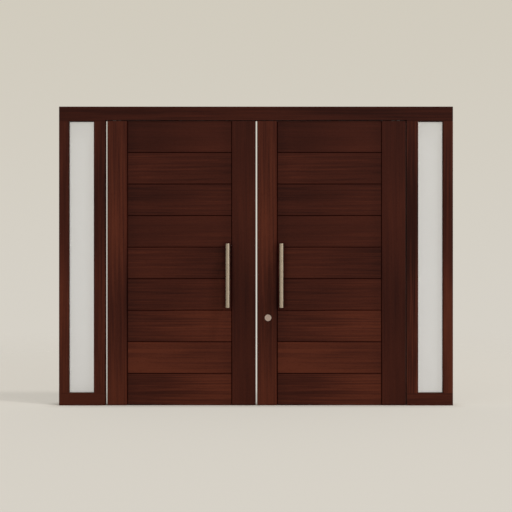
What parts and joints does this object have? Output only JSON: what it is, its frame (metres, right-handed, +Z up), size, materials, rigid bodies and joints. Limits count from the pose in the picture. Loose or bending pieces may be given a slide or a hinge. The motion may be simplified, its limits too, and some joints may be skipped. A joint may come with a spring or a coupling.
{
  "type": "double door with sidelights",
  "caption": "Timber double entrance door: horizontally boarded pivot-hung leaves with bar pulls, in a frame with a narrow frosted sidelight at each side.",
  "frame": {"origin": "floor level on the frame's left wall face, at the foot of the left post, in the middle of the depth", "axes": "+X across the door to the right seen from outside, +Y to the inside, +Z up"},
  "size_m": [2.9, 0.191, 2.2],
  "materials": {
    "frame_timber": "dark red-brown stained hardwood, dull varnish",
    "stile_timber": "dark red-brown stained hardwood, grain upright, dull varnish",
    "board_timber": "dark red-brown stained hardwood, grain level, dull varnish",
    "frosted_glass": "frosted, translucent white",
    "satin_nickel": "warm satin nickel",
    "pivot_steel": "blackened steel, lightly oiled"
  },
  "bodies": {
    "frame": {"head_rail": "frame_timber", "left_jamb": "frame_timber", "left_mullion": "frame_timber", "left_sidelight_sill": "frame_timber", "left_sidelight_glass": "frosted_glass", "left_glazing_beads": "frame_timber", "left_pivots": "pivot_steel", "right_jamb": "frame_timber", "right_mullion": "frame_timber", "right_sidelight_sill": "frame_timber", "right_sidelight_glass": "frosted_glass", "right_glazing_beads": "frame_timber", "right_pivots": "pivot_steel"},
    "left_leaf": {"left_leaf_hinge_stile": "stile_timber", "left_leaf_meeting_stile": "stile_timber", "left_leaf_board_1": "board_timber", "left_leaf_board_2": "board_timber", "left_leaf_board_3": "board_timber", "left_leaf_board_4": "board_timber", "left_leaf_board_5": "board_timber", "left_leaf_board_6": "board_timber", "left_leaf_board_7": "board_timber", "left_leaf_board_8": "board_timber", "left_leaf_board_9": "board_timber", "left_leaf_pivot_shoes": "pivot_steel", "left_pull_handle_outside": "satin_nickel", "left_pull_handle_inside": "satin_nickel", "lock_keep": "satin_nickel"},
    "right_leaf": {"right_leaf_hinge_stile": "stile_timber", "right_leaf_meeting_stile": "stile_timber", "right_leaf_board_1": "board_timber", "right_leaf_board_2": "board_timber", "right_leaf_board_3": "board_timber", "right_leaf_board_4": "board_timber", "right_leaf_board_5": "board_timber", "right_leaf_board_6": "board_timber", "right_leaf_board_7": "board_timber", "right_leaf_board_8": "board_timber", "right_leaf_board_9": "board_timber", "right_leaf_pivot_shoes": "pivot_steel", "right_pull_handle_outside": "satin_nickel", "right_pull_handle_inside": "satin_nickel", "lock_roses": "satin_nickel", "lock_cylinder": "satin_nickel", "lock_forend": "satin_nickel"}
  },
  "joints": [
    {"name": "left_leaf_swing", "type": "hinge", "parent": "frame", "child": "left_leaf", "pos_m": [0.425, -0.0095, 0], "axis": [0, 0, 1], "range_deg": [0, 90]},
    {"name": "right_leaf_swing", "type": "hinge", "parent": "frame", "child": "right_leaf", "pos_m": [2.4815, -0.0095, 0], "axis": [0, 0, -1], "range_deg": [0, 90]}
  ]
}
